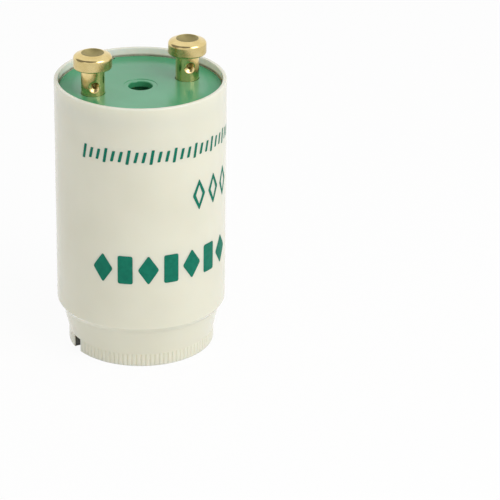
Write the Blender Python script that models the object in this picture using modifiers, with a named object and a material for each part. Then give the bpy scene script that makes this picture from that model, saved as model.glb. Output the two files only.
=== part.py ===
"""Fluorescent lamp starter: a moulded can, a snap-in end disc with two brass
contact pins, and inside it a glow switch and a suppression capacitor.

The starter stands on its closed end at z = 0 with the pins up. The two pins lie on
the X axis. Lengths are in metres.
"""

import math

import bmesh
import bpy
from mathutils import Matrix, Vector

# Moulded can
BODY_DIAMETER = 0.0215
BODY_LENGTH = 0.0356
BODY_WALL = 0.00095
MOUTH_LEDGE = 0.00045
RIM_ROUND = 0.0003
RIM_INNER_BEVEL = 0.00005
RIM_INNER_RISE = 0.00015
SHOULDER_HEIGHT = 0.0042
SHOULDER_CHAMFER = 0.0005
END_WALL = 0.0009

# Ribbed ring round the closed end, with two driver notches near the line of the pins
RING_DIAMETER = 0.0186
RING_HEIGHT = 0.00175
RING_WALL = 0.0012
RING_ROUND = 0.00015
RIB_COUNT = 100
RIB_GROOVE = 0.00012
RIB_STOP = 0.0001
NOTCH_WIDTH = 0.0017
NOTCH_AZIMUTH = math.radians(5)

# End disc that snaps into the mouth of the can
DISC_RECESS = 0.00105
DISC_THICKNESS = 0.0015
VENT_DIAMETER = 0.0030
VENT_RECESS_WIDTH = 0.0006
VENT_RECESS_DEPTH = 0.00006
EDGE_NOTCH_WIDTH = 0.0012
EDGE_NOTCH_DEPTH = 0.0007
SKIRT_LENGTH = 0.0035
SKIRT_WALL = 0.0008
BEAD_HEIGHT = 0.0002
BEAD_WIDTH = 0.0008
BEAD_RISE = 0.0013
BOSS_WALL = 0.0006
BOSS_LENGTH = 0.0024

# Contact pins: riveted through the disc, bored for the leads, dented to grip them
PIN_SPACING = 0.0127
NECK_DIAMETER = 0.00295
NECK_LENGTH = 0.00335
HEAD_DIAMETER = 0.0048
HEAD_HEIGHT = 0.00195
CROWN_DROP = 0.0004
CROWN_ROUND = 0.00012
HEAD_UNDER_ROUND = 0.0002
DISH_DIAMETER = 0.0029
DISH_DEPTH = 0.00055
RIVET_LIP = 0.0004
RIVET_THICKNESS = 0.00045
PIN_BORE_CLEARANCE = 0.0001
PIN_BORE_CAP = 0.0005
CRIMP_DIAMETER = 0.0015
CRIMP_TIP_DIAMETER = 0.0004
CRIMP_DEPTH = 0.0006
LEFT_CRIMP_HEIGHT = 0.0013
RIGHT_CRIMP_HEIGHT = 0.00185
LEFT_CRIMP_AZIMUTH = math.radians(-105)
RIGHT_CRIMP_AZIMUTH = math.radians(-101.5)

# Glow switch: a glass bulb with a bimetal hairpin beside a fixed electrode
BULB_DIAMETER = 0.0080
BULB_DROP = 0.0048
BULB_FLOOR_GAP = 0.0019
GLASS_WALL = 0.0006
SHOULDER_DROP = 0.0018
TIP_LENGTH = 0.0012
TIP_RADIUS = 0.0007
STEM_DIAMETER = 0.0044
STEM_FLARE_LENGTH = 0.0014
PRESS_LENGTH = 0.0048
PRESS_INSET = 0.0004
PRESS_THICKNESS = 0.0016
PRESS_ROUND = 0.0003
STEM_WIRE_INSET = 0.0006
INNER_WIRE_LENGTH = 0.0020
STRIP_WIDTH = 0.0020
STRIP_THICKNESS = 0.0002
STRIP_LEG = 0.0060
STRIP_FREE_LEG = 0.0040
CONTACT_GAP = 0.0005
ELECTRODE_DIAMETER = 0.0009
ELECTRODE_LENGTH = 0.0056
ELECTRODE_SOCKET = 0.0012

# Suppression capacitor, dipped in resin
CAPACITOR_WIDTH = 0.0080
CAPACITOR_THICKNESS = 0.0034
CAPACITOR_HEIGHT = 0.0070
CAPACITOR_ROUND = 0.0010
CAPACITOR_GAP = 0.0012
CAPACITOR_DROP = 0.0062
CAPACITOR_LEAD_SPACING = 0.0050
CAPACITOR_SOCKET = 0.0010

# Wires and fits
WIRE_DIAMETER = 0.0005
WIRE_PAIR_GAP = 0.0001
WIRE_STRAIGHT = 0.0006
WIRE_END_GAP = 0.0003
FIT = 0.00005

# Smoothness of the round pieces
BODY_STEPS = 100
DISC_STEPS = 72
PIN_STEPS = 32
BULB_STEPS = 30
SMALL_STEPS = 16
ROUND_STEPS = 3
DOME_STEPS = 6
WIRE_STEPS = 14
SHARP_ANGLE = math.radians(32)

# Places that follow from the sizes above
BODY_RADIUS = BODY_DIAMETER / 2
INNER_RADIUS = BODY_RADIUS - BODY_WALL
MOUTH_RADIUS = INNER_RADIUS + MOUTH_LEDGE
RING_RADIUS = RING_DIAMETER / 2
SHOULDER_TOP = RING_HEIGHT + SHOULDER_HEIGHT
TAPER_TOP = SHOULDER_TOP - SHOULDER_CHAMFER
TAPER_RADIUS = BODY_RADIUS - SHOULDER_CHAMFER
FLOOR_Z = RING_HEIGHT + END_WALL
DISC_FACE = BODY_LENGTH - DISC_RECESS
DISC_BACK = DISC_FACE - DISC_THICKNESS
SKIRT_END = DISC_BACK - SKIRT_LENGTH
BEAD_Z = SKIRT_END + BEAD_RISE
PIN_X = PIN_SPACING / 2
NECK_RADIUS = NECK_DIAMETER / 2
HEAD_BOTTOM = DISC_FACE + NECK_LENGTH
HEAD_TOP = HEAD_BOTTOM + HEAD_HEIGHT
RIVET_TOP = DISC_BACK - BOSS_LENGTH - FIT
PIN_BACK = RIVET_TOP - RIVET_THICKNESS
PIN_BORE_TOP = HEAD_BOTTOM - PIN_BORE_CAP
WIRE_RADIUS = WIRE_DIAMETER / 2
WIRE_PAIR_Y = WIRE_RADIUS + WIRE_PAIR_GAP / 2
WIRE_TOP = PIN_BORE_TOP - WIRE_END_GAP
SWITCH_DEPTH = BULB_DIAMETER + CAPACITOR_GAP + CAPACITOR_THICKNESS
BULB_Y = (SWITCH_DEPTH - BULB_DIAMETER) / 2
BULB_TOP = PIN_BACK - BULB_DROP
BULB_TIP = FLOOR_Z + BULB_FLOOR_GAP
PRESS_BOTTOM = BULB_TOP - PRESS_LENGTH
PRESS_HALF_WIDTH = STEM_DIAMETER / 2 - PRESS_INSET
STEM_WIRE_X = PRESS_HALF_WIDTH - STEM_WIRE_INSET
STEM_WIRE_END = PRESS_BOTTOM - INNER_WIRE_LENGTH
CAPACITOR_Y = (CAPACITOR_THICKNESS - SWITCH_DEPTH) / 2
CAPACITOR_TOP = PIN_BACK - CAPACITOR_DROP
CAPACITOR_LEAD_X = CAPACITOR_LEAD_SPACING / 2
SIDES = (("left", -PIN_X), ("right", PIN_X))
CRIMPS = {
    "left": (LEFT_CRIMP_HEIGHT, LEFT_CRIMP_AZIMUTH),
    "right": (RIGHT_CRIMP_HEIGHT, RIGHT_CRIMP_AZIMUTH),
}


def clear_scene():
    for obj in list(bpy.data.objects):
        bpy.data.objects.remove(obj, do_unlink=True)


def new_collection(name):
    collection = bpy.data.collections.new(name)
    bpy.context.scene.collection.children.link(collection)
    return collection


def material(name, colour, roughness, metallic=0.0, transmission=0.0):
    made = bpy.data.materials.new(name)
    made.use_nodes = True
    shader = made.node_tree.nodes["Principled BSDF"]
    shader.inputs["Base Color"].default_value = (*colour, 1.0)
    shader.inputs["Roughness"].default_value = roughness
    shader.inputs["Metallic"].default_value = metallic
    shader.inputs["Transmission Weight"].default_value = transmission
    made.diffuse_color = (*colour, 1.0)
    made.roughness = roughness
    made.metallic = metallic
    return made


def place(name, mesh, collection, finish=None):
    obj = bpy.data.objects.new(name, mesh)
    collection.objects.link(obj)
    if finish is not None:
        mesh.materials.append(finish)
    return obj


def arc(centre_x, centre_z, radius, start, end, steps=ROUND_STEPS):
    """Points of an arc in the XZ plane, from start to end in degrees."""
    angles = [math.radians(start + (end - start) * i / steps) for i in range(steps + 1)]
    return [
        (centre_x + radius * math.cos(a), centre_z + radius * math.sin(a)) for a in angles
    ]


def turned(name, profile, steps, collection, finish=None, closed=False):
    """A solid of revolution about Z from a profile of (radius, z) points."""
    mesh = bpy.data.meshes.new(name)
    points = [(x, 0.0, z) for x, z in profile]
    edges = [(i, i + 1) for i in range(len(points) - 1)]
    if closed:
        edges.append((len(points) - 1, 0))
    mesh.from_pydata(points, edges, [])
    obj = place(name, mesh, collection, finish)
    screw = obj.modifiers.new("turn", "SCREW")
    screw.axis = "Z"
    screw.angle = math.tau
    screw.steps = screw.render_steps = steps
    screw.use_merge_vertices = True
    screw.merge_threshold = 0.000001
    return obj


def box(name, low, high, collection, finish=None):
    mesh = bpy.data.meshes.new(name)
    shape = bmesh.new()
    size = Vector(high) - Vector(low)
    middle = (Vector(high) + Vector(low)) / 2
    bmesh.ops.create_cube(
        shape, size=1.0, matrix=Matrix.Translation(middle) @ Matrix.Diagonal((*size, 1.0))
    )
    shape.to_mesh(mesh)
    shape.free()
    return place(name, mesh, collection, finish)


def rod(name, radius, low, high, x, y, collection, steps=SMALL_STEPS, finish=None):
    """A vertical cylinder at (x, y) from z = low to z = high."""
    mesh = bpy.data.meshes.new(name)
    shape = bmesh.new()
    bmesh.ops.create_cone(
        shape,
        cap_ends=True,
        segments=steps,
        radius1=radius,
        radius2=radius,
        depth=high - low,
        matrix=Matrix.Translation((x, y, (low + high) / 2)),
    )
    shape.to_mesh(mesh)
    shape.free()
    return place(name, mesh, collection, finish)


def change(obj, other, operation):
    """A Boolean with a helper object, which isn't part of the model itself."""
    other.hide_render = True
    other.display_type = "WIRE"
    boolean = obj.modifiers.new(other.name, "BOOLEAN")
    boolean.operation = operation
    boolean.solver = "EXACT"
    boolean.object = other


def cut(obj, cutter):
    change(obj, cutter, "DIFFERENCE")


def join(obj, other):
    change(obj, other, "UNION")


def taper_radius(z):
    """Outer radius at height z of the taper between the ring and the chamfer."""
    share = (z - RING_HEIGHT) / (TAPER_TOP - RING_HEIGHT)
    return RING_RADIUS + (TAPER_RADIUS - RING_RADIUS) * share


def can_profile():
    groove_radius = INNER_RADIUS + BEAD_HEIGHT + FIT
    groove_half = BEAD_WIDTH / 2 + FIT
    ring_inner = RING_RADIUS - RING_WALL
    inside = [
        (0.0, FLOOR_Z),
        (taper_radius(FLOOR_Z) - BODY_WALL, FLOOR_Z),
        (TAPER_RADIUS - BODY_WALL, TAPER_TOP),
        (INNER_RADIUS, SHOULDER_TOP),
        (INNER_RADIUS, BEAD_Z - groove_half - BEAD_HEIGHT),
        (groove_radius, BEAD_Z - groove_half),
        (groove_radius, BEAD_Z + groove_half),
        (INNER_RADIUS, BEAD_Z + groove_half + BEAD_HEIGHT),
        (INNER_RADIUS, DISC_BACK - FIT),
        (MOUTH_RADIUS, DISC_BACK - FIT),
    ]
    rim = [(MOUTH_RADIUS, BODY_LENGTH - RIM_INNER_RISE)]
    rim += [(MOUTH_RADIUS + RIM_INNER_BEVEL, BODY_LENGTH)]
    rim += arc(BODY_RADIUS - RIM_ROUND, BODY_LENGTH - RIM_ROUND, RIM_ROUND, 90, 0)
    ring = [
        (BODY_RADIUS, SHOULDER_TOP),
        (TAPER_RADIUS, TAPER_TOP),
        (RING_RADIUS, RING_HEIGHT),
    ]
    ring += arc(RING_RADIUS - RING_ROUND, RING_ROUND, RING_ROUND, 0, -90)
    recess = [
        (ring_inner + RING_ROUND, 0.0),
        (ring_inner, RING_ROUND),
        (ring_inner, RING_HEIGHT),
        (0.0, RING_HEIGHT),
    ]
    return inside + rim + ring + recess


def rib_grooves(collection):
    """Four-sided prisms whose inner edges cut the V grooves between the ribs."""
    mesh = bpy.data.meshes.new("rib_grooves")
    shape = bmesh.new()
    top = RING_HEIGHT - RIB_STOP
    for index in range(RIB_COUNT):
        angle = math.tau * (index + 0.5) / RIB_COUNT
        bmesh.ops.create_cone(
            shape,
            cap_ends=True,
            segments=4,
            radius1=RIB_GROOVE,
            radius2=RIB_GROOVE,
            depth=2 * top,
            matrix=Matrix.Rotation(angle, 4, "Z") @ Matrix.Translation((RING_RADIUS, 0, 0)),
        )
    shape.to_mesh(mesh)
    shape.free()
    return place("rib_grooves", mesh, collection)


def driver_notches(collection):
    """One bar across the ring cuts both notches."""
    reach = RING_RADIUS + RING_WALL
    half = NOTCH_WIDTH / 2
    bar = box(
        "driver_notches", (-reach, -half, -RING_HEIGHT), (reach, half, RING_HEIGHT), collection
    )
    bar.rotation_euler.z = NOTCH_AZIMUTH
    return bar


def make_can(parts, helpers, finish):
    can = turned("can", can_profile(), BODY_STEPS, parts, finish)
    cut(can, rib_grooves(helpers))
    cut(can, driver_notches(helpers))


def disc_profile():
    """The plate, its vent and its snap skirt, as one closed outline."""
    vent = VENT_DIAMETER / 2
    recess = vent + VENT_RECESS_WIDTH
    edge = MOUTH_RADIUS - FIT
    skirt = INNER_RADIUS - FIT
    bead = skirt + BEAD_HEIGHT
    bead_half = BEAD_WIDTH / 2
    skirt_inner = skirt - SKIRT_WALL
    return [
        (vent, DISC_FACE - VENT_RECESS_DEPTH),
        (recess, DISC_FACE - VENT_RECESS_DEPTH),
        (recess, DISC_FACE),
        (edge, DISC_FACE),
        (edge, DISC_BACK),
        (skirt, DISC_BACK),
        (skirt, BEAD_Z + bead_half + BEAD_HEIGHT),
        (bead, BEAD_Z + bead_half),
        (bead, BEAD_Z - bead_half),
        (skirt, BEAD_Z - bead_half - BEAD_HEIGHT),
        (skirt, SKIRT_END),
        (skirt_inner, SKIRT_END),
        (skirt_inner, DISC_BACK),
        (vent, DISC_BACK),
    ]


def make_disc(parts, helpers, finish):
    disc = turned("end_disc", disc_profile(), DISC_STEPS, parts, finish, closed=True)
    middle_z = (DISC_FACE + DISC_BACK) / 2
    above = DISC_FACE + DISC_THICKNESS
    below = SKIRT_END - DISC_THICKNESS
    bore_radius = NECK_RADIUS + FIT
    boss_radius = bore_radius + BOSS_WALL
    boss_end = DISC_BACK - BOSS_LENGTH
    for side, x in SIDES:
        boss = rod("boss_" + side, boss_radius, boss_end, middle_z, x, 0.0, helpers, PIN_STEPS)
        join(disc, boss)
    for side, x in SIDES:
        bore = rod("bore_" + side, bore_radius, below, above, x, 0.0, helpers, PIN_STEPS)
        cut(disc, bore)
    half = EDGE_NOTCH_WIDTH / 2
    notch_y = MOUTH_RADIUS - FIT - EDGE_NOTCH_DEPTH
    slot_y = INNER_RADIUS - FIT - 2 * SKIRT_WALL
    for name, inner_y, low_z, high_z in (
        ("edge_notch", notch_y, DISC_BACK - SKIRT_WALL, above),
        ("skirt_slot", slot_y, below, DISC_BACK),
    ):
        front = box(
            name + "_front", (-half, -BODY_RADIUS, low_z), (half, -inner_y, high_z), helpers
        )
        back = box(name + "_back", (-half, inner_y, low_z), (half, BODY_RADIUS, high_z), helpers)
        cut(disc, front)
        cut(disc, back)


def pin_profile():
    """From the dish in the head over the sloped crown to the rivet and up the bore."""
    head = HEAD_DIAMETER / 2
    dish = DISH_DIAMETER / 2
    rivet = NECK_RADIUS + RIVET_LIP
    bore = WIRE_PAIR_Y + WIRE_RADIUS + PIN_BORE_CLEARANCE
    steps = ROUND_STEPS
    dish_points = [
        (dish * i / steps, HEAD_TOP - DISH_DEPTH * (1 - (i / steps) ** 2))
        for i in range(steps + 1)
    ]
    slope = math.atan2(CROWN_DROP, head - dish)
    crown_z = HEAD_TOP - CROWN_DROP - CROWN_ROUND * math.tan(math.pi / 4 - slope / 2)
    crown = arc(head - CROWN_ROUND, crown_z, CROWN_ROUND, 90 - math.degrees(slope), 0, 2)
    under = arc(
        head - HEAD_UNDER_ROUND, HEAD_BOTTOM + HEAD_UNDER_ROUND, HEAD_UNDER_ROUND, 0, -90, 2
    )
    shank = [
        (NECK_RADIUS, HEAD_BOTTOM),
        (NECK_RADIUS, RIVET_TOP),
        (rivet, RIVET_TOP),
        (rivet, PIN_BACK),
        (bore, PIN_BACK),
        (bore, PIN_BORE_TOP),
        (0.0, PIN_BORE_TOP + bore / 2),
    ]
    return dish_points + crown + under + shank


def crimp_cone(name, collection):
    """A cone lying on its side, point inwards, half of it inside the neck's surface."""
    mesh = bpy.data.meshes.new(name)
    shape = bmesh.new()
    bmesh.ops.create_cone(
        shape,
        cap_ends=True,
        segments=SMALL_STEPS,
        radius1=CRIMP_TIP_DIAMETER / 2,
        radius2=CRIMP_DIAMETER - CRIMP_TIP_DIAMETER / 2,
        depth=2 * CRIMP_DEPTH,
        matrix=Matrix.Rotation(math.pi / 2, 4, "Y"),
    )
    shape.to_mesh(mesh)
    shape.free()
    return place(name, mesh, collection)


def make_pin(side, x, parts, helpers, finish):
    pin = turned("contact_pin_" + side, pin_profile(), PIN_STEPS, parts, finish)
    pin.location.x = x
    height, azimuth = CRIMPS[side]
    cone = crimp_cone("crimp_" + side, helpers)
    cone.rotation_euler.z = azimuth
    cone.location = (
        x + NECK_RADIUS * math.cos(azimuth),
        NECK_RADIUS * math.sin(azimuth),
        DISC_FACE + height,
    )
    cut(pin, cone)


def envelope_profile():
    """Blown glass: open neck, shoulder, tube, domed end and exhaust tip."""
    outer = BULB_DIAMETER / 2
    inner = outer - GLASS_WALL
    neck_inner = STEM_DIAMETER / 2 + FIT
    neck_outer = neck_inner + GLASS_WALL
    neck_end = BULB_TOP - STEM_FLARE_LENGTH
    shoulder_end = neck_end - SHOULDER_DROP
    dome_z = BULB_TIP + TIP_LENGTH + outer
    inside = arc(0.0, dome_z, inner, -90, 0, DOME_STEPS)
    inside += [(inner, shoulder_end), (neck_inner, neck_end), (neck_inner, BULB_TOP)]
    outside = [(neck_outer, BULB_TOP), (neck_outer, neck_end), (outer, shoulder_end)]
    tip_angle = -math.degrees(math.acos(TIP_RADIUS / outer))
    outside += arc(0.0, dome_z, outer, 0, tip_angle, DOME_STEPS)
    tip = [(TIP_RADIUS / 2, BULB_TIP + TIP_LENGTH / 3), (0.0, BULB_TIP)]
    return inside + outside + tip


def make_envelope(parts, finish):
    bulb = turned("bulb_envelope", envelope_profile(), BULB_STEPS, parts, finish)
    bulb.location.y = BULB_Y


def make_stem(parts, helpers, finish):
    """The glass stem: a round flare, a flat press, and a bore for each wire."""
    flare_end = BULB_TOP - STEM_FLARE_LENGTH
    stem = rod(
        "bulb_stem", STEM_DIAMETER / 2, flare_end, BULB_TOP, 0.0, BULB_Y, parts, BULB_STEPS,
        finish,
    )
    half = PRESS_THICKNESS / 2
    press = box(
        "stem_press",
        (-PRESS_HALF_WIDTH, BULB_Y - half, PRESS_BOTTOM),
        (PRESS_HALF_WIDTH, BULB_Y + half, (flare_end + BULB_TOP) / 2),
        helpers,
    )
    bevel = press.modifiers.new("soft_edges", "BEVEL")
    bevel.width = PRESS_ROUND
    bevel.segments = 2
    join(stem, press)
    low = PRESS_BOTTOM - PRESS_THICKNESS
    high = BULB_TOP + PRESS_THICKNESS
    for side, x in (("left", -STEM_WIRE_X), ("right", STEM_WIRE_X)):
        bore = rod("stem_bore_" + side, WIRE_RADIUS + FIT, low, high, x, BULB_Y, helpers)
        cut(stem, bore)


def s_bend(start, end, steps=WIRE_STEPS):
    """Points of a smooth bend that leaves and arrives vertically."""
    start, end = Vector(start), Vector(end)
    rise = Vector((0, 0, (end.z - start.z) / 2))
    first, second = start + rise, end - rise
    points = []
    for i in range(steps + 1):
        t = i / steps
        points.append(
            (1 - t) ** 3 * start
            + 3 * (1 - t) ** 2 * t * first
            + 3 * (1 - t) * t**2 * second
            + t**3 * end
        )
    return points


def wire(name, points, parts, finish):
    curve = bpy.data.curves.new(name, "CURVE")
    curve.dimensions = "3D"
    curve.bevel_depth = WIRE_RADIUS
    curve.bevel_resolution = 2
    curve.use_fill_caps = True
    spline = curve.splines.new("POLY")
    spline.points.add(len(points) - 1)
    for point, place_at in zip(spline.points, points):
        point.co = (*place_at, 1.0)
    curve.materials.append(finish)
    obj = bpy.data.objects.new(name, curve)
    parts.objects.link(obj)
    return obj


def lead(name, foot, foot_z, exit_z, pin, parts, finish):
    """A wire from foot_z, straight up past exit_z, bent over and up into a pin's bore."""
    leave = (*foot, exit_z + WIRE_STRAIGHT)
    arrive = (*pin, PIN_BACK - WIRE_STRAIGHT)
    points = [(*foot, foot_z), *s_bend(leave, arrive), (*pin, WIRE_TOP)]
    wire(name, points, parts, finish)


def make_bimetal(parts, finish):
    """A hairpin strip beside the left wire, its free leg near the fixed electrode."""
    half_thickness = STRIP_THICKNESS / 2
    fixed_x = -STEM_WIRE_X - WIRE_RADIUS - FIT - half_thickness
    free_x = STEM_WIRE_X - ELECTRODE_DIAMETER / 2 - CONTACT_GAP - half_thickness
    bend = (free_x - fixed_x) / 2
    top = PRESS_BOTTOM - FIT - STRIP_THICKNESS
    bend_z = top - STRIP_LEG
    outline = [(fixed_x, top)]
    outline += arc(fixed_x + bend, bend_z, bend, 180, 360, 2 * DOME_STEPS)
    outline += [(free_x, bend_z + STRIP_FREE_LEG)]
    mesh = bpy.data.meshes.new("bimetal_strip")
    half = STRIP_WIDTH / 2
    points = [(x, y, z) for x, z in outline for y in (BULB_Y - half, BULB_Y + half)]
    faces = [(2 * i, 2 * i + 1, 2 * i + 3, 2 * i + 2) for i in range(len(outline) - 1)]
    mesh.from_pydata(points, [], faces)
    strip = place("bimetal_strip", mesh, parts, finish)
    solidify = strip.modifiers.new("thickness", "SOLIDIFY")
    solidify.thickness = STRIP_THICKNESS
    solidify.offset = 0.0


def make_electrode(parts, finish):
    """A nickel sleeve on the end of the right wire, with a rounded tip."""
    radius = ELECTRODE_DIAMETER / 2
    socket = WIRE_RADIUS + FIT
    socket_end = STEM_WIRE_END - FIT
    top = socket_end + ELECTRODE_SOCKET
    bottom = top - ELECTRODE_LENGTH
    profile = [(0.0, socket_end), (socket, socket_end), (socket, top), (radius, top)]
    profile += arc(0.0, bottom + radius, radius, 0, -90)
    electrode = turned("fixed_electrode", profile, SMALL_STEPS, parts, finish)
    electrode.location = (STEM_WIRE_X, BULB_Y, 0.0)


def make_capacitor(parts, helpers, finish):
    half_width = CAPACITOR_WIDTH / 2
    half = CAPACITOR_THICKNESS / 2
    body = box(
        "capacitor",
        (-half_width, CAPACITOR_Y - half, CAPACITOR_TOP - CAPACITOR_HEIGHT),
        (half_width, CAPACITOR_Y + half, CAPACITOR_TOP),
        parts,
        finish,
    )
    bevel = body.modifiers.new("dipped_edges", "BEVEL")
    bevel.width = CAPACITOR_ROUND
    bevel.segments = ROUND_STEPS
    low = CAPACITOR_TOP - CAPACITOR_SOCKET
    high = CAPACITOR_TOP + CAPACITOR_SOCKET
    for side, x in (("left", -CAPACITOR_LEAD_X), ("right", CAPACITOR_LEAD_X)):
        socket = rod(
            "capacitor_socket_" + side, WIRE_RADIUS + FIT, low, high, x, CAPACITOR_Y, helpers
        )
        cut(body, socket)


def make_leads(side, sign, parts, finish):
    """The glow switch's wire and the capacitor's, side by side in one pin's bore."""
    pin_x = sign * PIN_X
    socket_end = CAPACITOR_TOP - CAPACITOR_SOCKET + FIT
    lead(
        "lead_wire_" + side, (sign * STEM_WIRE_X, BULB_Y), STEM_WIRE_END, BULB_TOP,
        (pin_x, WIRE_PAIR_Y), parts, finish,
    )
    lead(
        "capacitor_lead_" + side, (sign * CAPACITOR_LEAD_X, CAPACITOR_Y), socket_end,
        CAPACITOR_TOP, (pin_x, -WIRE_PAIR_Y), parts, finish,
    )


def settle(parts):
    """Fix the modifiers into the meshes, so that the shading follows the final edges."""
    depsgraph = bpy.context.evaluated_depsgraph_get()
    pieces = [obj for obj in parts.objects if obj.type == "MESH"]
    meshes = [bpy.data.meshes.new_from_object(obj.evaluated_get(depsgraph)) for obj in pieces]
    for obj, mesh in zip(pieces, meshes):
        obj.modifiers.clear()
        obj.data = mesh
        mesh.shade_smooth()
        mesh.set_sharp_from_angle(angle=SHARP_ANGLE)


def main():
    clear_scene()
    parts = new_collection("fluorescent_starter")
    helpers = new_collection("helpers")
    white = material("white_polycarbonate", (0.80, 0.79, 0.72), 0.28)
    green = material("green_plastic", (0.06, 0.36, 0.21), 0.25)
    brass = material("brass", (0.82, 0.62, 0.30), 0.22, metallic=1.0)
    glass = material("glass", (0.95, 0.97, 0.96), 0.03, transmission=0.9)
    nickel = material("nickel_wire", (0.62, 0.61, 0.58), 0.3, metallic=1.0)
    bimetal = material("bimetal", (0.55, 0.50, 0.45), 0.35, metallic=1.0)
    resin = material("capacitor_resin", (0.55, 0.16, 0.05), 0.35)
    make_can(parts, helpers, white)
    make_disc(parts, helpers, green)
    make_envelope(parts, glass)
    make_stem(parts, helpers, glass)
    make_bimetal(parts, bimetal)
    make_electrode(parts, nickel)
    make_capacitor(parts, helpers, resin)
    for side, x in SIDES:
        make_pin(side, x, parts, helpers, brass)
        make_leads(side, math.copysign(1.0, x), parts, nickel)
    settle(parts)


main()
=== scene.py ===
"""The finished look of the fluorescent lamp starter, in metres, in the part's own frame."""

import math

import bmesh
import bpy
import numpy as np
from mathutils import Matrix, Vector


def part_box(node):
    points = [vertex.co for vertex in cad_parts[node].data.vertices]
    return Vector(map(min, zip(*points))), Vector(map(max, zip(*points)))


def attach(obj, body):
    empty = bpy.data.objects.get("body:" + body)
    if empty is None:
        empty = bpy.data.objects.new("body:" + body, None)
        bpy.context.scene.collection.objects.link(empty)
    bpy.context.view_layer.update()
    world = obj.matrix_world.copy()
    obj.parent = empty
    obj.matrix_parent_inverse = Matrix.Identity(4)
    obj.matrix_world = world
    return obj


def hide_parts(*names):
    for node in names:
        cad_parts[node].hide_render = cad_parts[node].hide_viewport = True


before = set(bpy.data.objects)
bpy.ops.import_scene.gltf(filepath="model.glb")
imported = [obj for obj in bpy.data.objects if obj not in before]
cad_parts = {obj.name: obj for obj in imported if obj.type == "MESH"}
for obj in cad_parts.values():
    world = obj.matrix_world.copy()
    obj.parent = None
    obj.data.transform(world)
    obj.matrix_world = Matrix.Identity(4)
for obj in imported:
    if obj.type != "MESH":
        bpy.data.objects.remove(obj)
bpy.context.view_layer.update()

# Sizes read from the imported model
_, CAN_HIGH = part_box("can")
DISC_LOW, DISC_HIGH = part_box("end_disc")
PIN_LOW, PIN_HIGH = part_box("contact_pin_right")
BODY_RADIUS = CAN_HIGH.x
BODY_TOP = CAN_HIGH.z
DISC_FACE = DISC_HIGH.z
DISC_EDGE = DISC_HIGH.x
SKIRT_END = DISC_LOW.z
PIN_X = (PIN_LOW.x + PIN_HIGH.x) / 2
PIN_BACK = PIN_LOW.z
HEAD_TOP = PIN_HIGH.z
HEAD_RADIUS = (PIN_HIGH.x - PIN_LOW.x) / 2

# The can, with a chamfer and a taper from its shoulder down to the ring
WALL = 0.00095
MOUTH_LEDGE = 0.00045
FIT = 0.00005
RIM_ROUND = 0.00016
RIM_INNER_ROUND = 0.00008
SHOULDER_HEIGHT = 0.0042
SHOULDER_ROUND = 0.0001
CHAMFER_WIDTH = 0.0007
CHAMFER_HEIGHT = 0.00087
TAPER_ROUND = 0.0008
END_WALL = 0.0009

# The ring round the closed end, with V grooves between its ribs and two driver notches. Each rib
# takes RIB_STEPS points of the turning. A groove is gone at GROOVE_STOP below the ring's top, and
# whole at GROOVE_FADE below that.
RING_RADIUS = 0.0093
RING_HEIGHT = 0.00175
RING_WALL = 0.0012
RING_ROUND = 0.00015
RING_TOP_ROUND = 0.0001
RIB_COUNT = 100
RIB_STEPS = 8
GROOVE_DEPTH = 0.00012
GROOVE_HALF_WIDTH = 0.0001
GROOVE_STOP = 0.0001
GROOVE_FADE = 0.00005
NOTCH_WIDTH = 0.0017
NOTCH_ROUND = 0.00008
NOTCH_AZIMUTH = math.radians(5)

# The end disc
DISC_THICKNESS = 0.0015
DISC_EDGE_ROUND = 0.0002
DISC_TURN_STEPS = 288
VENT_RADIUS = 0.0015
VENT_LIP = 0.0008
VENT_RELIEF = 0.0006
VENT_ROUND = 0.00015
VENT_RECESS_WIDTH = 0.0006
VENT_RECESS_DEPTH = 0.00006
VENT_RECESS_ROUND = 0.00004
EDGE_NOTCH_WIDTH = 0.0012
EDGE_NOTCH_DEPTH = 0.0007
SKIRT_SLOT_WIDTH = 0.0011
SKIRT_WALL = 0.0008
SKIRT_END_ROUND = 0.0001
SKIRT_ROOT_ROUND = 0.0002
BEAD_HEIGHT = 0.0002
BEAD_WIDTH = 0.0008
BEAD_RISE = 0.0013
BOSS_WALL = 0.0006
BOSS_LENGTH = 0.0024
BORE_STEPS = 96

# The contact pins
NECK_RADIUS = 0.001475
NECK_ROUND = 0.00012
HEAD_HEIGHT = 0.00195
CROWN_DROP = 0.0004
CROWN_ROUND = 0.00045
HEAD_UNDER_ROUND = 0.0002
DISH_RADIUS = 0.00145
DISH_DEPTH = 0.00055
DISH_ROWS = 9
DISH_LIP = 0.00005
RIVET_LIP = 0.0004
RIVET_THICKNESS = 0.00045
RIVET_ROUND = 0.00012
PIN_BORE_RADIUS = 0.00065
PIN_BORE_CAP = 0.0005
PIN_BORE_ROUND = 0.0001
PIN_TURN_STEPS = 192

# The crimp in a pin's neck is a dent with a pit in it. The steeper each is, the wider its flat
# bottom. Rows of points lie DENT_ROW apart within DENT_REACH of its middle. ON_NECK is how far
# off the neck a point may be to count as on it, as a share of the radius. Each pin has its crimp
# at a height over the disc and an azimuth.
DENT_RADIUS = 0.00078
DENT_DEPTH = 0.00034
DENT_STEEPNESS = 1.4
DENT_REACH = 1.3 * DENT_RADIUS
DENT_ROW = 0.00004
PIT_RADIUS = 0.0005
PIT_DEPTH = 0.00045
PIT_STEEPNESS = 2.5
PIT_SHIFT = 0.00015
ON_NECK = 0.01
LEFT_DENT = (0.0012, math.radians(-105))
RIGHT_DENT = (0.00185, math.radians(-101.5))

# Painted shade on a pin, as darker and duller brass: how much of it the head's side gets, where
# that side begins as a share of the head's radius, how much of the bowl's radius and depth gets
# it, and how many dent depths down the dent gets it fully
SIDE_DULL_SHADE = 0.3
SIDE_BEGIN = 0.995
DULL_BOWL_RADIUS = 0.97
DULL_BOWL_DEPTH = 1.01
DULL_DENT_DEPTHS = 1.6

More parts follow.
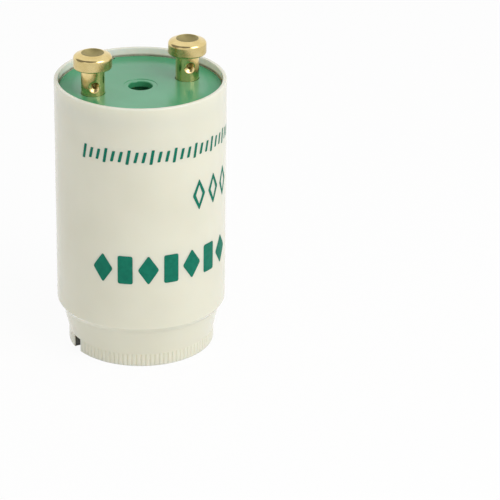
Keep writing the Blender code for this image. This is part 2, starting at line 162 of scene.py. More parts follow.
# The printed layer: how far it stands out of the can and how far it sinks in, how wide the
# stretches are that bend round the can, and how near to a cut between two a point lies on it
INK = 0.000012
INK_SINK = 0.00002
INK_STEP = 0.00025
INK_MERGE = 1e-7

# Rows of printed marks: the height, the angles round the can where it starts and ends, the count
SMALL_ROW = (0.0293, math.radians(-155), math.radians(-30), 24)
MIDDLE_ROW = (0.0232, math.radians(-78), math.radians(-35), 3)
LARGE_ROW = (0.0141, math.radians(-147), math.radians(-38), 7)

# The shapes of the marks, as width, height and rounding
STROKE = (0.00038, 0.0014, 0.0001)
TALL_STROKE = (0.00038, 0.0019, 0.0001)
STROKE_LEAN = 0.00016
HOLLOW_DIAMOND = (0.0021, 0.0042, 0.0002)
DIAMOND_HOLE = (0.0011, 0.0026, 0.0001)
SOLID_DIAMOND = (0.0027, 0.0040, 0.0003)
SOLID_BLOCK = (0.0019, 0.0038, 0.0003)
MARK_ROUND_STEPS = 4

# Turned profiles: the largest turn between two points of a rounding, how far from its ends the
# supporting points lie, and the longest stretch
ARC_STEP = math.radians(12)
SUPPORT = 0.00004
SPAN = 0.003

# Rounded edges of blocks: their steps, and their shape, which is round at a half
BEVEL_STEPS = 3
BEVEL_SHAPE = 0.5

# The angle from which an edge is shaded as sharp
SHARP_ANGLE = math.radians(32)

# Places that more than one shape is measured from
INNER_RADIUS = BODY_RADIUS - WALL
MOUTH_RADIUS = INNER_RADIUS + MOUTH_LEDGE
RING_INNER = RING_RADIUS - RING_WALL
DISC_BACK = DISC_FACE - DISC_THICKNESS
SKIRT_RADIUS = INNER_RADIUS - FIT
BEAD_Z = SKIRT_END + BEAD_RISE
NECK_TOP = HEAD_TOP - HEAD_HEIGHT

# Each pin's side, its place on the X axis, and its crimp
PINS = (("left", -PIN_X, LEFT_DENT), ("right", PIN_X, RIGHT_DENT))

# Colours, each as the two ends that noise spreads it between. The paler white of the mouth's
# inner wall is painted light, and the darker whites and the darker brass are painted shade.
CLEAN_WHITE = ((0.80, 0.78, 0.645), (0.835, 0.815, 0.68))
# Painted light: the paler white of the mouth's inner wall
LIT_WALL_WHITE = ((0.955, 0.87, 0.81), (0.98, 0.90, 0.84))
# Painted shade: the darker white in the corner over the disc's edge
CORNER_SHADE_WHITE = ((0.26, 0.25, 0.19), (0.42, 0.41, 0.33))
# Painted shade: the near-black white on the side walls of the ring's notches
NOTCH_SHADE_WHITE = ((0.035, 0.037, 0.018), (0.065, 0.066, 0.04))
DISC_GREEN = ((0.054, 0.335, 0.150), (0.068, 0.37, 0.175))
BRIGHT_BRASS = ((0.72, 0.56, 0.24), (0.82, 0.66, 0.32))
# Painted shade: the darker brass of the pins' bowls, dents and head sides
SHADED_BRASS = ((0.32, 0.27, 0.115), (0.39, 0.33, 0.15))
INK_GREEN = ((0.0, 0.16, 0.10), (0.002, 0.195, 0.12))
GLASS = ((0.80, 0.86, 0.84), (0.90, 0.93, 0.92))
BIMETAL = ((0.52, 0.47, 0.40), (0.62, 0.57, 0.50))
NICKEL = ((0.64, 0.63, 0.60), (0.74, 0.73, 0.70))
RESIN = ((0.54, 0.20, 0.07), (0.64, 0.26, 0.10))

# The part of a noise's range that is spread over the two ends
NOISE_LOW = 0.35
NOISE_HIGH = 0.65

# Painted shade in the corner over the disc's edge, by height over the disc's face
CORNER_SHADE_FULL = 0.00002
CORNER_SHADE_NONE = 0.00032

# Band along the disc's edge that is less glossy: its width, the fade into it, and its gloss
EDGE_BAND = 0.0016
EDGE_FADE = 0.0009
EDGE_GLOSS = 0.12

# The camera, which stands where the photographer's did
CAMERA_ROUND = math.radians(-22.919663)
CAMERA_REACH = 0.322615
CAMERA_HEIGHT = 0.162845
CAMERA_PAN = math.radians(2.470088)
CAMERA_TILT = math.radians(25.060613)
CAMERA_ROLL = math.radians(0.808078)
CAMERA_SENSOR = 0.036
CAMERA_LENS = 0.200639
CAMERA_NEAR = 0.01
CAMERA_FAR = 10.0
MM_PER_METRE = 1000

# The room, white where it is seen: how bright it is as a light, and the darker places that the
# metal mirrors, as azimuth and elevation in degrees, each dark to its core and gone at its edge
ROOM_LEVEL = 0.655
DARK_PLACES = ((-138.0, 60.0), (158.0, 30.0))
DARK_CORE = 20
DARK_EDGE = 38
DARK_LEVEL = 0.25

# The white table: from its middle to its side, how far it lies below the can, so that their
# faces don't share a plane, and how much of it is plain white where it is seen
FLOOR_REACH = 3.0
FLOOR_DROP = 0.00002
FLOOR_WHITENESS = 0.93

# The softbox, by its direction in degrees, its distance, size and power
KEY_AZIMUTH = -60.0
KEY_ELEVATION = 42.0
KEY_DISTANCE = 0.3
KEY_SIZE = 0.17
KEY_POWER = 0.345


def softened(corners, closed=False):
    """A profile of (radius, z) points from (radius, z, rounding) corners.

    Each rounded corner becomes an arc with a support point close to each end, and
    long straights are divided.
    """
    count = len(corners)
    points = []
    for i, (x, z, rounding) in enumerate(corners):
        if rounding == 0 or (not closed and i in (0, count - 1)):
            points.append((x, z))
            continue
        corner = Vector((x, z))
        before = Vector(corners[i - 1][:2]) - corner
        after = Vector(corners[(i + 1) % count][:2]) - corner
        half = before.angle(after) / 2
        reach = rounding / math.tan(half)
        u, v = before.normalized(), after.normalized()
        centre = corner + (u + v).normalized() * (rounding / math.sin(half))
        first, last = corner + u * reach - centre, corner + v * reach - centre
        start = math.atan2(first.y, first.x)
        turn = math.atan2(first.cross(last), first.dot(last))
        steps = max(2, math.ceil(abs(turn) / ARC_STEP))
        if reach + SUPPORT < before.length / 2:
            points.append(tuple(corner + u * (reach + SUPPORT)))
        for k in range(steps + 1):
            angle = start + turn * k / steps
            points.append(
                (centre.x + rounding * math.cos(angle), centre.y + rounding * math.sin(angle))
            )
        if reach + SUPPORT < after.length / 2:
            points.append(tuple(corner + v * (reach + SUPPORT)))
    return divided(points, closed)


def divided(points, closed):
    """The same line with no stretch longer than SPAN."""
    ends = points[1:] + points[:1] if closed else points[1:]
    fine = []
    for (x0, z0), (x1, z1) in zip(points, ends):
        parts = max(1, math.ceil(math.hypot(x1 - x0, z1 - z0) / SPAN))
        fine += [(x0 + (x1 - x0) * k / parts, z0 + (z1 - z0) * k / parts) for k in range(parts)]
    return fine if closed else fine + [points[-1]]


def turned(name, profile, steps, closed=False, shape=None):
    """A solid of revolution about Z, with its radius changed by shape(radius, angle, z).

    An open profile starts and ends on the axis.
    """
    radius = np.array([p[0] for p in profile])
    height = np.array([p[1] for p in profile])
    angle = np.arange(steps) * math.tau / steps
    rows = radius if closed else radius[1:-1]
    levels = height if closed else height[1:-1]
    r, a = np.meshgrid(rows, angle, indexing="ij")
    z = np.meshgrid(levels, angle, indexing="ij")[0]
    if shape is not None:
        r = shape(r, a, z)
    points = np.stack([r * np.cos(a), r * np.sin(a), z], axis=-1).reshape(-1, 3).tolist()
    count = len(rows)
    faces = []
    for i in range(count if closed else count - 1):
        low, high = i * steps, (i + 1) % count * steps
        for j in range(steps):
            k = (j + 1) % steps
            faces.append((low + j, high + j, high + k, low + k))
    if not closed:
        first, last = len(points), len(points) + 1
        points += [(0.0, 0.0, height[0]), (0.0, 0.0, height[-1])]
        end = (count - 1) * steps
        for j in range(steps):
            k = (j + 1) % steps
            faces += [(first, j, k), (last, end + k, end + j)]
    mesh = bpy.data.meshes.new(name)
    mesh.from_pydata(points, [], faces)
    return placed(name, mesh)


def placed(name, data):
    """A new object in the scene that holds a mesh, a camera or a light."""
    obj = bpy.data.objects.new(name, data)
    bpy.context.scene.collection.objects.link(obj)
    return obj


def from_bmesh(name, shape):
    """A new object in the scene from a bmesh, which is freed."""
    mesh = bpy.data.meshes.new(name)
    shape.to_mesh(mesh)
    shape.free()
    return placed(name, mesh)


def block(name, low, high, rounding=0.0):
    """A box between two corners, with rounded edges if a rounding is given."""
    shape = bmesh.new()
    size = Vector(high) - Vector(low)
    middle = (Vector(high) + Vector(low)) / 2
    matrix = Matrix.Translation(middle) @ Matrix.Diagonal((*size, 1.0))
    bmesh.ops.create_cube(shape, size=1.0, matrix=matrix)
    if rounding:
        bmesh.ops.bevel(
            shape, geom=shape.edges[:], offset=rounding, segments=BEVEL_STEPS,
            affect="EDGES", profile=BEVEL_SHAPE,
        )
    return from_bmesh(name, shape)


def rod(name, radius, low, high, x):
    """An upright cylinder at (x, 0), turned by half a step so that no corner is on the X axis."""
    shape = bmesh.new()
    place = Matrix.Translation((x, 0.0, (low + high) / 2))
    bmesh.ops.create_cone(
        shape, cap_ends=True, segments=BORE_STEPS, radius1=radius, radius2=radius,
        depth=high - low, matrix=place @ Matrix.Rotation(math.pi / BORE_STEPS, 4, "Z"),
    )
    return from_bmesh(name, shape)


def combine(obj, changes):
    """Cuts or joins helper shapes, which are removed, and fixes the result in the mesh."""
    for other, operation in changes:
        boolean = obj.modifiers.new(other.name, "BOOLEAN")
        boolean.operation = operation
        boolean.solver = "EXACT"
        boolean.object = other
    fix_modifiers(obj)
    for other, _ in changes:
        bpy.data.objects.remove(other, do_unlink=True)


def fix_modifiers(obj):
    """Turns what the modifiers make into the object's own mesh."""
    depsgraph = bpy.context.evaluated_depsgraph_get()
    mesh = bpy.data.meshes.new_from_object(obj.evaluated_get(depsgraph))
    obj.modifiers.clear()
    obj.data = mesh


def finish_piece(obj, material, slot, *nodes):
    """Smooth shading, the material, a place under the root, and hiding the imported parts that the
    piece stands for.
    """
    obj.data.shade_smooth()
    obj.data.set_sharp_from_angle(angle=SHARP_ANGLE)
    obj.data.materials.clear()
    obj.data.materials.append(material)
    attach(obj, "root")
    if nodes:
        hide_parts(*nodes)


def new_material(name, colour, roughness, metallic=0.0):
    """A material with plain values, as (material, node tree, shader)."""
    made = bpy.data.materials.new(name)
    made.use_nodes = True
    shader = made.node_tree.nodes["Principled BSDF"]
    shader.inputs["Base Color"].default_value = (*colour, 1.0)
    shader.inputs["Roughness"].default_value = roughness
    shader.inputs["Metallic"].default_value = metallic
    return made, made.node_tree, shader


def noise(tree, scale, detail=3.0, stretch=(1.0, 1.0, 1.0)):
    """Noise in the object's own space, scale in cells per metre."""
    place = tree.nodes.new("ShaderNodeTexCoord")
    mapping = tree.nodes.new("ShaderNodeMapping")
    mapping.inputs["Scale"].default_value = stretch
    made = tree.nodes.new("ShaderNodeTexNoise")
    made.inputs["Scale"].default_value = scale
    made.inputs["Detail"].default_value = detail
    tree.links.new(place.outputs["Object"], mapping.inputs["Vector"])
    tree.links.new(mapping.outputs["Vector"], made.inputs["Vector"])
    return made.outputs["Fac"]


def ramp(tree, source, low, high):
    """Noise spread between two colours or two numbers."""
    made = tree.nodes.new("ShaderNodeValToRGB")
    ends = made.color_ramp.elements
    for end, position, value in zip(ends, (NOISE_LOW, NOISE_HIGH), (low, high)):
        end.position = position
        end.color = (*value, 1.0) if isinstance(value, tuple) else (value, value, value, 1.0)
    tree.links.new(source, made.inputs["Fac"])
    return made.outputs["Color"]


def vary(tree, socket, source, ends):
    """Lets noise vary a socket between two ends."""
    tree.links.new(ramp(tree, source, *ends), socket)


def add_bump(tree, shader, source, height, strength):
    """Lets noise raise and lower the surface in the shading."""
    bump = tree.nodes.new("ShaderNodeBump")
    bump.inputs["Strength"].default_value = strength
    bump.inputs["Distance"].default_value = height
    tree.links.new(source, bump.inputs["Height"])
    tree.links.new(bump.outputs["Normal"], shader.inputs["Normal"])


def mixed(tree, share, low, high):
    """Low where the share is 0 and high where it is 1."""
    made = tree.nodes.new("ShaderNodeMix")
    made.data_type = "RGBA"
    tree.links.new(share, made.inputs["Factor"])
    tree.links.new(low, made.inputs["A"])
    tree.links.new(high, made.inputs["B"])
    return made.outputs["Result"]


def map_range(tree, source, start, end, at_start=0.0, at_end=1.0):
    """A node that gives at_start where the source is at start, and at_end where it is at end."""
    made = tree.nodes.new("ShaderNodeMapRange")
    made.inputs["From Min"].default_value = start
    made.inputs["From Max"].default_value = end
    made.inputs["To Min"].default_value = at_start
    made.inputs["To Max"].default_value = at_end
    tree.links.new(source, made.inputs["Value"])
    return made


def faded(tree, source, full, none):
    """1 where the source is at full and 0 where it is at none, straight in between."""
    return map_range(tree, source, none, full).outputs["Result"]


def combined(tree, operation, first, second):
    """The result of a calculation with two numbers."""
    made = tree.nodes.new("ShaderNodeMath")
    made.operation = operation
    tree.links.new(first, made.inputs[0])
    tree.links.new(second, made.inputs[1])
    return made.outputs[0]


def radius_and_height(tree):
    """The distance from the can's axis, and the height."""
    place = tree.nodes.new("ShaderNodeTexCoord")
    axes = tree.nodes.new("ShaderNodeSeparateXYZ")
    flat = tree.nodes.new("ShaderNodeCombineXYZ")
    radius = tree.nodes.new("ShaderNodeVectorMath")
    radius.operation = "LENGTH"
    tree.links.new(place.outputs["Object"], axes.inputs["Vector"])
    tree.links.new(axes.outputs["X"], flat.inputs["X"])
    tree.links.new(axes.outputs["Y"], flat.inputs["Y"])
    tree.links.new(flat.outputs["Vector"], radius.inputs[0])
    return radius.outputs["Value"], axes.outputs["Z"]


def share_within(tree, place, within, low, full, none):
    """1 nearer the axis than within and from low up to full, and from there down to 0 at none."""
    radius, height = place
    inside = faded(tree, radius, within, within + FIT / 2)
    over = faded(tree, height, low, low - FIT / 2)
    under = faded(tree, height, full, none)
    return combined(tree, "MULTIPLY", combined(tree, "MULTIPLY", inside, over), under)


def white_plastic():
    """Moulded off-white plastic: glossy, a little uneven in tone, a little see-through.

    The inner wall of the mouth is painted paler, as painted light, with painted shade in its corner
    over the disc, and the side walls of the ring's notches are painted dark, as painted shade.
    """
    made, tree, shader = new_material("white_plastic", colour=(0.82, 0.80, 0.665), roughness=0.16)
    place = radius_and_height(tree)
    mouth = MOUTH_RADIUS + FIT / 2
    base = DISC_FACE - FIT
    groove_bottom = RING_RADIUS - GROOVE_DEPTH
    # Painted light: a paler white on the mouth's inner wall
    lit_wall = share_within(tree, place, mouth, base, BODY_TOP - RIM_INNER_ROUND, BODY_TOP)
    # Painted shade: a darker white in the corner over the disc's edge
    corner_shade = share_within(tree, place, mouth, base, DISC_FACE + CORNER_SHADE_FULL, DISC_FACE + CORNER_SHADE_NONE)
    # Painted shade: a near-black white on the side walls of the ring's notches
    in_ring = share_within(
        tree, place, groove_bottom - FIT, RING_ROUND / 2, RING_HEIGHT - FIT, RING_HEIGHT
    )
    past_inner_wall = faded(tree, place[0], RING_INNER + FIT, RING_INNER + FIT / 2)
    notch_shade = combined(tree, "MULTIPLY", in_ring, past_inner_wall)
    colour = ramp(tree, noise(tree, scale=120.0, detail=2.0), *CLEAN_WHITE)
    speckle = noise(tree, scale=1200.0, detail=4.0)
    for share, ends in ((lit_wall, LIT_WALL_WHITE), (corner_shade, CORNER_SHADE_WHITE), (notch_shade, NOTCH_SHADE_WHITE)):
        colour = mixed(tree, share, colour, ramp(tree, speckle, *ends))
    tree.links.new(colour, shader.inputs["Base Color"])
    vary(tree, shader.inputs["Roughness"], noise(tree, scale=900.0), (0.13, 0.20))
    shader.inputs["Subsurface Weight"].default_value = 0.65
    shader.inputs["Subsurface Radius"].default_value = (1.0, 0.86, 0.75)
    shader.inputs["Subsurface Scale"].default_value = 0.001
    grain = noise(tree, scale=2500.0, detail=2.0)
    add_bump(tree, shader, grain, height=0.000004, strength=0.5)
    return made


def green_plastic():
    """Glossy green moulding with faint flow marks, less glossy along its edge."""
    made, tree, shader = new_material("green_plastic", colour=(0.055, 0.35, 0.16), roughness=0.13)
    vary(tree, shader.inputs["Base Color"], noise(tree, scale=150.0), DISC_GREEN)
    vary(tree, shader.inputs["Roughness"], noise(tree, scale=700.0), (0.19, 0.27))
    shader.inputs["IOR"].default_value = 1.66
    radius, _ = radius_and_height(tree)
    band = DISC_EDGE - EDGE_BAND
    level = shader.inputs["Specular IOR Level"]
    gloss = map_range(tree, radius, band - EDGE_FADE, band, level.default_value, EDGE_GLOSS)
    tree.links.new(gloss.outputs["Result"], level)
    flow = noise(tree, scale=420.0, detail=1.0)
    add_bump(tree, shader, flow, height=0.000006, strength=0.35)
    return made


def brass():
    """Turned brass with fine tool lines round the axis, darker and rougher where the mesh marks
    painted shade.
    """
    made, tree, shader = new_material(
        "brass", colour=(0.76, 0.60, 0.27), roughness=0.14, metallic=1.0
    )
    # Painted shade: the mesh attribute darkens and dulls the brass in the bowl, the dent and on the
    # head's side
    dull_shade = tree.nodes.new("ShaderNodeAttribute")
    dull_shade.attribute_name = "dull_shade"
    share = dull_shade.outputs["Fac"]
    tone = noise(tree, scale=900.0, detail=4.0)
    bright = ramp(tree, tone, *BRIGHT_BRASS)
    dull = ramp(tree, tone, *SHADED_BRASS)
    tree.links.new(mixed(tree, share, bright, dull), shader.inputs["Base Color"])
    speckle = noise(tree, scale=1600.0)
    smooth = ramp(tree, speckle, 0.11, 0.22)
    matt = ramp(tree, speckle, 0.42, 0.52)
    tree.links.new(mixed(tree, share, smooth, matt), shader.inputs["Roughness"])
    tool_lines = noise(tree, scale=500.0, detail=2.0, stretch=(0.2, 0.2, 30.0))
    add_bump(tree, shader, tool_lines, height=0.000002, strength=0.3)
    return made


def ink():
    """Flat printing ink with slightly uneven cover."""
    made, tree, shader = new_material("green_ink", colour=(0.0, 0.175, 0.11), roughness=0.55)
    vary(tree, shader.inputs["Base Color"], noise(tree, scale=1500.0, detail=4.0), INK_GREEN)
    vary(tree, shader.inputs["Roughness"], noise(tree, scale=2500.0), (0.5, 0.65))
    shader.inputs["Specular IOR Level"].default_value = 0.2
    return made


def glass():
    """Clear bulb glass, a little uneven where it was drawn."""
    made, tree, shader = new_material("glass", colour=(0.86, 0.90, 0.88), roughness=0.05)
    vary(tree, shader.inputs["Base Color"], noise(tree, scale=300.0, detail=2.0), GLASS)
    vary(tree, shader.inputs["Roughness"], noise(tree, scale=1200.0), (0.02, 0.08))
    shader.inputs["Transmission Weight"].default_value = 0.9
    return made


def drawn_metal(name, ends):
    """Wire or strip metal with draw lines along its length and a soft shine."""
    made, tree, shader = new_material(name, colour=ends[1], roughness=0.3, metallic=1.0)
    vary(tree, shader.inputs["Base Color"], noise(tree, scale=1400.0), ends)
    lines = noise(tree, scale=6000.0, detail=2.0, stretch=(1.0, 1.0, 0.05))
    vary(tree, shader.inputs["Roughness"], lines, (0.24, 0.38))
    add_bump(tree, shader, lines, height=0.000004, strength=0.5)
    return made


def resin():
    """Dipped capacitor coating: glossy, with the slow waves of a run-off film."""
    made, tree, shader = new_material("resin", colour=(0.58, 0.22, 0.08), roughness=0.2)
    vary(tree, shader.inputs["Base Color"], noise(tree, scale=350.0), RESIN)
    vary(tree, shader.inputs["Roughness"], noise(tree, scale=900.0), (0.16, 0.28))
    waves = noise(tree, scale=500.0, detail=2.0)
    add_bump(tree, shader, waves, height=0.00004, strength=0.5)
    return made


def dress(nodes, material):
    """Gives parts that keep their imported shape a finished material."""
    for name in nodes:
        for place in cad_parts[name].material_slots:
            place.material = material


def can_corners():
    """The can's profile, from the inside of its end by the rim and the ring to the outside."""
    floor = RING_HEIGHT + END_WALL
    shoulder = RING_HEIGHT + SHOULDER_HEIGHT
    taper_top = shoulder - CHAMFER_HEIGHT
    taper_radius = BODY_RADIUS - CHAMFER_WIDTH
    slope = (taper_radius - RING_RADIUS) / (taper_top - RING_HEIGHT)
    floor_radius = RING_RADIUS + slope * END_WALL - WALL
    ledge = DISC_BACK - FIT
    bead_seat = INNER_RADIUS + BEAD_HEIGHT + FIT
    half = BEAD_WIDTH / 2 + FIT
    groove_top = RING_HEIGHT - GROOVE_STOP
    return [
        (0.0, floor, 0.0),
        (floor_radius, floor, 0.0),
        (taper_radius - WALL, taper_top, 0.0),
        (INNER_RADIUS, shoulder, 0.0),
        (INNER_RADIUS, BEAD_Z - half - BEAD_HEIGHT, 0.0),
        (bead_seat, BEAD_Z - half, 0.0),
        (bead_seat, BEAD_Z + half, 0.0),
        (INNER_RADIUS, BEAD_Z + half + BEAD_HEIGHT, 0.0),
        (INNER_RADIUS, ledge, 0.0),
        (MOUTH_RADIUS, ledge, 0.0),
        (MOUTH_RADIUS, BODY_TOP, RIM_INNER_ROUND),
        (BODY_RADIUS, BODY_TOP, RIM_ROUND),
        (BODY_RADIUS, shoulder, SHOULDER_ROUND),
        (taper_radius, taper_top, TAPER_ROUND),
        (RING_RADIUS, RING_HEIGHT, RING_TOP_ROUND),
        (RING_RADIUS, groove_top, 0.0),
        (RING_RADIUS, groove_top - GROOVE_FADE, 0.0),
        (RING_RADIUS, 0.0, RING_ROUND),
        (RING_INNER, 0.0, RING_ROUND),
        (RING_INNER, RING_HEIGHT, RING_ROUND),
        (0.0, RING_HEIGHT, 0.0),
    ]


def ribbed(radius, angle, height):
    """Presses the V grooves between the ribs into the outside of the ring."""
    pitch = math.tau / RIB_COUNT
    offset = np.abs((angle / pitch) % 1.0 - 0.5) * pitch * RING_RADIUS
    depth = GROOVE_DEPTH * np.clip(1.0 - offset / GROOVE_HALF_WIDTH, 0.0, 1.0)
    grooved = np.minimum(radius, RING_RADIUS - depth)
    below = height < RING_HEIGHT - GROOVE_STOP - GROOVE_FADE / 2
    return np.where(below, grooved, radius)


def make_can(material):
    """The can, with its two notches cut through the ring in one go."""
    steps = RIB_COUNT * RIB_STEPS
    can = turned("starter_can", softened(can_corners()), steps, shape=ribbed)
    reach = RING_RADIUS + RING_WALL
    half = NOTCH_WIDTH / 2
    notches = block(
        "notches", (-reach, -half, -RING_HEIGHT), (reach, half, RING_HEIGHT), NOTCH_ROUND
    )
    notches.rotation_euler.z = NOTCH_AZIMUTH
    combine(can, [(notches, "DIFFERENCE")])
    finish_piece(can, material, "white_plastic", "can")


def disc_corners():
    """The disc's closed profile, from the vent by the face and the skirt back to the vent."""
    bead = SKIRT_RADIUS + BEAD_HEIGHT
    half = BEAD_WIDTH / 2
    recess = VENT_RADIUS + VENT_RECESS_WIDTH
    recess_floor = DISC_FACE - VENT_RECESS_DEPTH
    relief = VENT_RADIUS + VENT_RELIEF
    return [
        (VENT_RADIUS, recess_floor, VENT_ROUND),
        (recess, recess_floor, VENT_RECESS_ROUND),
        (recess, DISC_FACE, VENT_RECESS_ROUND),
        (DISC_EDGE, DISC_FACE, DISC_EDGE_ROUND),
        (DISC_EDGE, DISC_BACK, 0.0),
        (SKIRT_RADIUS, DISC_BACK, 0.0),
        (SKIRT_RADIUS, BEAD_Z + half + BEAD_HEIGHT, 0.0),
        (bead, BEAD_Z + half, 0.0),
        (bead, BEAD_Z - half, 0.0),
        (SKIRT_RADIUS, BEAD_Z - half - BEAD_HEIGHT, 0.0),
        (SKIRT_RADIUS, SKIRT_END, SKIRT_END_ROUND),
        (SKIRT_RADIUS - SKIRT_WALL, SKIRT_END, SKIRT_END_ROUND),
        (SKIRT_RADIUS - SKIRT_WALL, DISC_BACK, SKIRT_ROOT_ROUND),
        (relief, DISC_BACK, 0.0),
        (relief, DISC_FACE - VENT_LIP, 0.0),
        (VENT_RADIUS, DISC_FACE - VENT_LIP, 0.0),
    ]


def make_disc(material):
    """The end disc, with bosses and bores for the pins, edge notches and skirt slots."""
    profile = softened(disc_corners(), closed=True)
    disc = turned("starter_disc", profile, DISC_TURN_STEPS, closed=True)
    middle = (DISC_FACE + DISC_BACK) / 2
    above = DISC_FACE + DISC_THICKNESS
    below = SKIRT_END - DISC_THICKNESS
    bore = NECK_RADIUS + FIT
    changes = []
    for side, x, _ in PINS:
        boss = rod("boss_" + side, bore + BOSS_WALL, DISC_BACK - BOSS_LENGTH, middle, x)
        changes.append((boss, "UNION"))
    for side, x, _ in PINS:
        changes.append((rod("bore_" + side, bore, below, above, x), "DIFFERENCE"))
    notch_y = DISC_EDGE - EDGE_NOTCH_DEPTH
    slot_y = SKIRT_RADIUS - 2 * SKIRT_WALL
    for name, width, inner, low, high in (
        ("edge_notch", EDGE_NOTCH_WIDTH, notch_y, DISC_BACK - SKIRT_WALL, above),
        ("skirt_slot", SKIRT_SLOT_WIDTH, slot_y, below, DISC_BACK - SKIRT_WALL / 2),
    ):
        outer = BODY_RADIUS + width
        front = block(name + "_front", (-width / 2, -outer, low), (width / 2, -inner, high))
        rear = block(name + "_rear", (-width / 2, inner, low), (width / 2, outer, high))
        changes += [(front, "DIFFERENCE"), (rear, "DIFFERENCE")]
    combine(disc, changes)
    finish_piece(disc, material, "green_plastic", "end_disc")


def pin_corners(dent_z):
    """A pin's profile, from the bowl in its head by the neck to its rivet and bore."""
    rivet = NECK_RADIUS + RIVET_LIP
    rivet_top = PIN_BACK + RIVET_THICKNESS
    bore_top = NECK_TOP - PIN_BORE_CAP
    bowl = [k / DISH_ROWS for k in range(DISH_ROWS)]
    return [(DISH_RADIUS * s, HEAD_TOP - DISH_DEPTH * (1 - s**2), 0.0) for s in bowl] + [
        (DISH_RADIUS, HEAD_TOP, DISH_LIP),
        (HEAD_RADIUS, HEAD_TOP - CROWN_DROP, CROWN_ROUND),
        (HEAD_RADIUS, NECK_TOP, HEAD_UNDER_ROUND),
        (NECK_RADIUS, NECK_TOP, NECK_ROUND),
        (NECK_RADIUS, dent_z + DENT_REACH, 0.0),
        (NECK_RADIUS, dent_z - DENT_REACH, 0.0),
        (NECK_RADIUS, rivet_top, 0.0),
        (rivet, rivet_top, 0.0),
        (rivet, PIN_BACK, RIVET_ROUND),
        (PIN_BORE_RADIUS, PIN_BACK, PIN_BORE_ROUND),
        (PIN_BORE_RADIUS, bore_top, 0.0),
        (0.0, bore_top + PIN_BORE_RADIUS / 2, 0.0),
    ]


def with_dent_rows(profile, dent_z):
    """Adds close rows to the stretch of the neck where the dent is pressed in."""
    top = dent_z + DENT_REACH
    rows = int(2 * DENT_REACH / DENT_ROW)
    fine = [(NECK_RADIUS, top - 2 * DENT_REACH * k / rows) for k in range(1, rows)]
    at = next(i for i, (_, z) in enumerate(profile) if z < dent_z)
    return profile[:at] + fine + profile[at:]


def eased(share):
    """From 0 to 1 with a soft start and end."""
    share = np.clip(share, 0.0, 1.0)
    return share * share * (3.0 - 2.0 * share)


def dented(radius, angle, height, dent_z, azimuth):
    """Presses the crimp into the neck: a round dent with a steep pit above and to the right."""
    around = ((angle - azimuth + math.pi) % math.tau - math.pi) * NECK_RADIUS
    up = height - dent_z
    dent = 1.0 - np.hypot(around, up) / DENT_RADIUS
    pit = 1.0 - np.hypot(around - PIT_SHIFT, up - PIT_SHIFT) / PIT_RADIUS
    depth = DENT_DEPTH * eased(DENT_STEEPNESS * dent) + PIT_DEPTH * eased(PIT_STEEPNESS * pit)
    on_neck = np.abs(radius - NECK_RADIUS) < NECK_RADIUS * ON_NECK
    return np.where(on_neck, radius - depth, radius)


def mark_dull_shade(mesh):
    """Marks the painted shade, darker and duller brass: the bowl in the head's end, the dent, and a
    little the head's side.
    """
    spots = mesh.attributes.new("dull_shade", "FLOAT", "POINT")
    for vert, spot in zip(mesh.vertices, spots.data):
        radius = vert.co.xy.length
        if radius > HEAD_RADIUS * SIDE_BEGIN:
            spot.value = SIDE_DULL_SHADE
        elif vert.co.z > HEAD_TOP - DISH_DEPTH * DULL_BOWL_DEPTH:
            spot.value = 1.0 if radius < DISH_RADIUS * DULL_BOWL_RADIUS else 0.0
        elif DISC_FACE < vert.co.z < NECK_TOP:
            spot.value = eased((NECK_RADIUS - radius) / DENT_DEPTH / DULL_DENT_DEPTHS)


def make_pin(side, x, dent, material):
    """One contact pin, turned on the axis and then moved to its place."""
    rise, azimuth = dent
    dent_z = DISC_FACE + rise
    profile = with_dent_rows(softened(pin_corners(dent_z)), dent_z)
    pin = turned(
        "starter_pin_" + side, profile, PIN_TURN_STEPS,
        shape=lambda r, a, z: dented(r, a, z, dent_z, azimuth),
    )
    mark_dull_shade(pin.data)
    pin.data.transform(Matrix.Translation((x, 0.0, 0.0)))
    finish_piece(pin, material, "brass", "contact_pin_" + side)


def rounded_outline(corners, rounding):
    """A closed outline of (u, v) points with its corners rounded."""
    outline = []
    for i, corner in enumerate(corners):
        here = Vector(corner)
        before = (Vector(corners[i - 1]) - here).normalized() * rounding
        after = (Vector(corners[(i + 1) % len(corners)]) - here).normalized() * rounding
        for k in range(MARK_ROUND_STEPS + 1):
            t = k / MARK_ROUND_STEPS
            outline.append(
                (1 - t) ** 2 * (here + before) + 2 * t * (1 - t) * here + t**2 * (here + after)
            )
    return outline


def moved(outline, u, v):
    """The same outline at another place."""
    return [Vector((p.x + u, p.y + v)) for p in outline]


def diamond(width, height, rounding):
    """A diamond with rounded corners, as an outline."""
    return rounded_outline(
        [(-width / 2, 0), (0, -height / 2), (width / 2, 0), (0, height / 2)], rounding
    )


def slab(width, height, rounding, lean=0.0):
    """A bar with rounded corners that may lean to the right, as an outline."""
    half_u, half_v = width / 2, height / 2
    corners = [
        (-half_u - lean, -half_v), (half_u - lean, -half_v),
        (half_u + lean, half_v), (-half_u + lean, half_v),
    ]
    return rounded_outline(corners, rounding)


def row_marks(row, pattern):
    """Marks at even steps along a row, from a pattern of (outline, outline of its hole)."""
    height, start, end, count = row
    length = (end - start) * BODY_RADIUS
    for k in range(count):
        u = start * BODY_RADIUS + length * (k + 0.5) / count
        outer, hole = pattern[k % len(pattern)]
        yield moved(outer, u, height), moved(hole, u, height)


def all_marks():
    """Every mark with the outline of its hole, which is empty where the mark is solid."""
    tall = (slab(*TALL_STROKE, STROKE_LEAN), [])
    short = (slab(*STROKE, STROKE_LEAN), [])
    hollow = (diamond(*HOLLOW_DIAMOND), diamond(*DIAMOND_HOLE))
    solids = ((diamond(*SOLID_DIAMOND), []), (slab(*SOLID_BLOCK), []))
    yield from row_marks(SMALL_ROW, (tall, short, short))
    yield from row_marks(MIDDLE_ROW, (hollow,))
    yield from row_marks(LARGE_ROW, solids)


